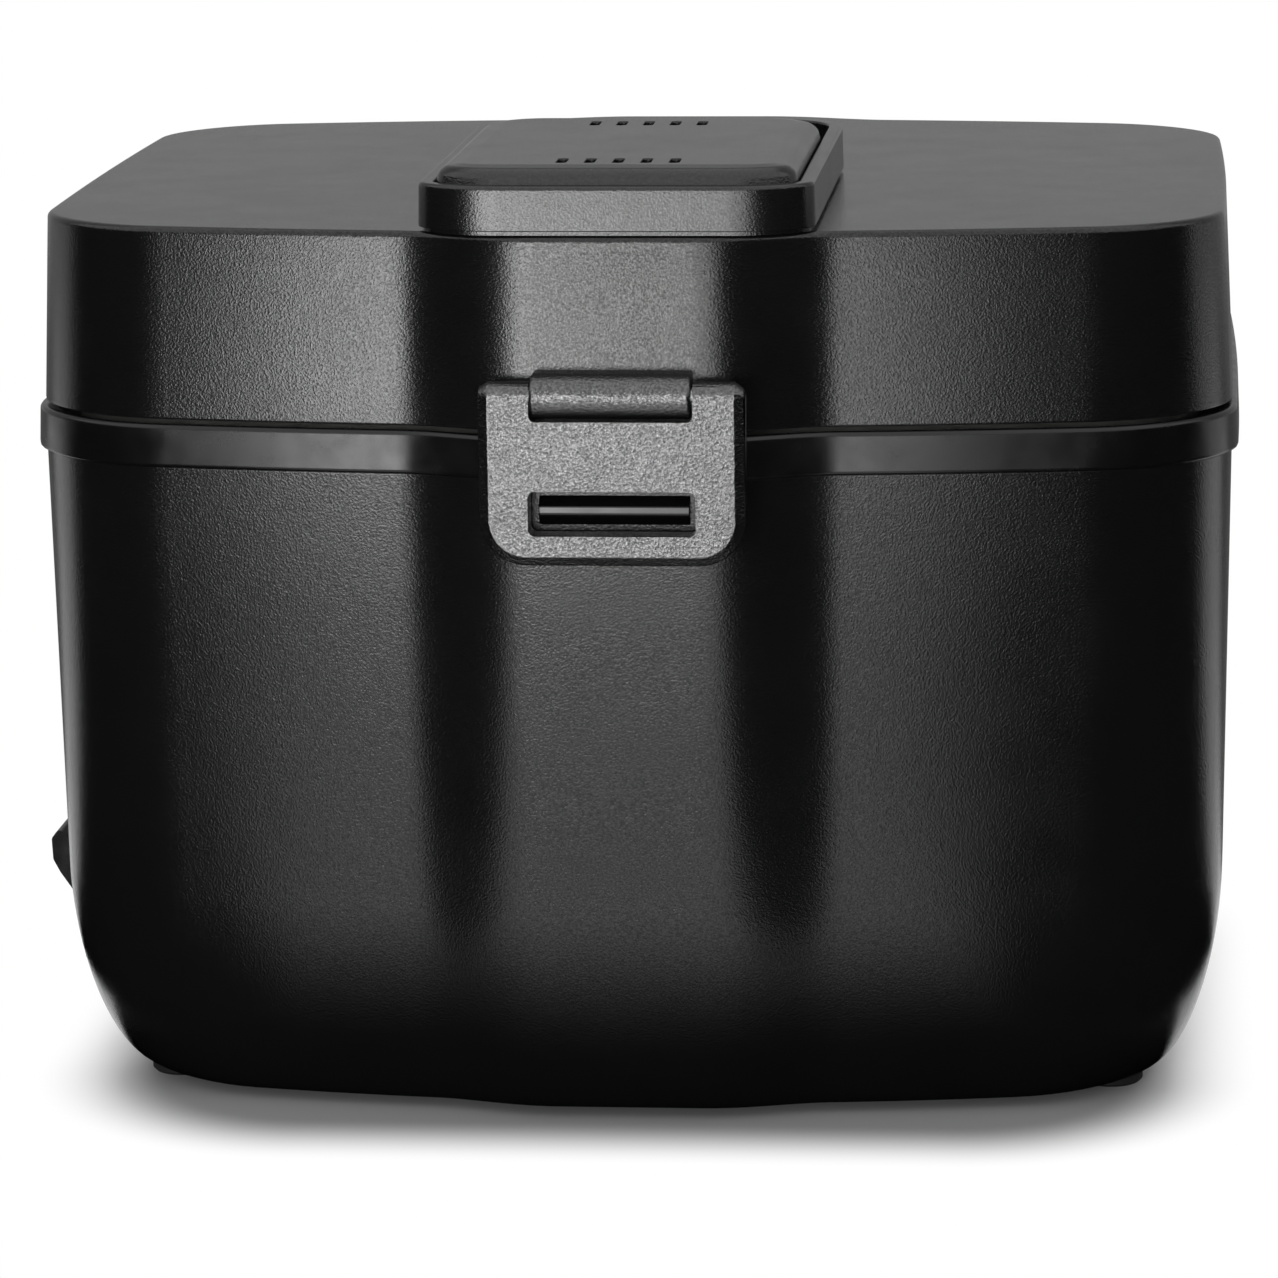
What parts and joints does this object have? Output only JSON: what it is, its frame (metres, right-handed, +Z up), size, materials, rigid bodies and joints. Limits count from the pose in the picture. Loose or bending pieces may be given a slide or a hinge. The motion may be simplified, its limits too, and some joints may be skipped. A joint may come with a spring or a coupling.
{
  "type": "electric lunch box",
  "caption": "Heated lunch box with a bowed tub, a hinged lid held by a front latch, a slotted steam vent, a steel basin with stacked food boxes and a side power inlet.",
  "frame": {"origin": "middle of the shells' footprint, on the table under the feet", "axes": "+Z up; the latch faces -Y, the lid hinge is at +Y, the power inlet faces -X"},
  "size_m": [0.2426, 0.2178, 0.188],
  "materials": {
    "shell_plastic": "pebble grained",
    "trim_plastic": "fine satin grain",
    "basin_steel": "polished inside",
    "base_plastic": "matt",
    "foot_rubber": "matt",
    "screw_steel": "zinc plated",
    "socket_plastic": "matt thermoset",
    "pin_brass": "nickel plated",
    "heater_aluminium": "as cast",
    "heater_ceramic": "matt ceramic",
    "clamp_steel": "rolled sheet",
    "lead_sleeve": "matt",
    "box_steel": "brushed",
    "silicone": "soft matt",
    "inner_plastic": "satin",
    "catch_plastic": "gloss",
    "pin_steel": "ground",
    "latch_plastic": "fine satin grain",
    "vent_plastic": "fine satin grain"
  },
  "bodies": {
    "tub": {"body_shell": "shell_plastic", "rim_collar": "trim_plastic", "basin": "basin_steel", "base_plate": "base_plastic", "feet": "foot_rubber", "base_screws": "screw_steel", "inlet_hood": "trim_plastic", "inlet_socket": "socket_plastic", "inlet_pins": "pin_brass", "heater_plate": "heater_aluminium", "heating_element": "heater_ceramic", "heater_clamp": "clamp_steel", "clamp_screws": "screw_steel", "thermostat": "socket_plastic", "thermal_fuse": "heater_ceramic", "lead_wires": "lead_sleeve", "steam_rack": "box_steel", "rack_feet": "silicone", "rice_box": "box_steel", "rice_box_lid": "inner_plastic", "dish_left": "box_steel", "dish_left_lid": "inner_plastic", "dish_right": "box_steel", "dish_right_lid": "inner_plastic", "latch_catch": "catch_plastic", "hinge_base": "trim_plastic", "hinge_pin": "pin_steel"},
    "lid": {"lid_shell": "shell_plastic", "lid_inner_panel": "inner_plastic", "lid_seal": "silicone", "lid_screws": "screw_steel", "steam_duct": "silicone", "hinge_leaf": "trim_plastic", "latch_barrel": "latch_plastic", "latch_pin": "pin_steel", "vent_housing": "vent_plastic"},
    "latch": {"latch_plate": "latch_plastic"},
    "cap": {"vent_cap": "vent_plastic"}
  },
  "joints": [
    {"name": "lid_hinge", "type": "hinge", "parent": "tub", "child": "lid", "pos_m": [0, 0.1059, 0.1378], "axis": [-1, 0, 0], "range_deg": [0, 95]},
    {"name": "latch_swing", "type": "hinge", "parent": "lid", "child": "latch", "pos_m": [0, -0.1031, 0.1458], "axis": [-1, 0, 0], "range_deg": [0, 100]},
    {"name": "vent_cap_lift", "type": "slide", "parent": "lid", "child": "cap", "axis": [0, 0, 1], "range_m": [0, 0.015]}
  ]
}
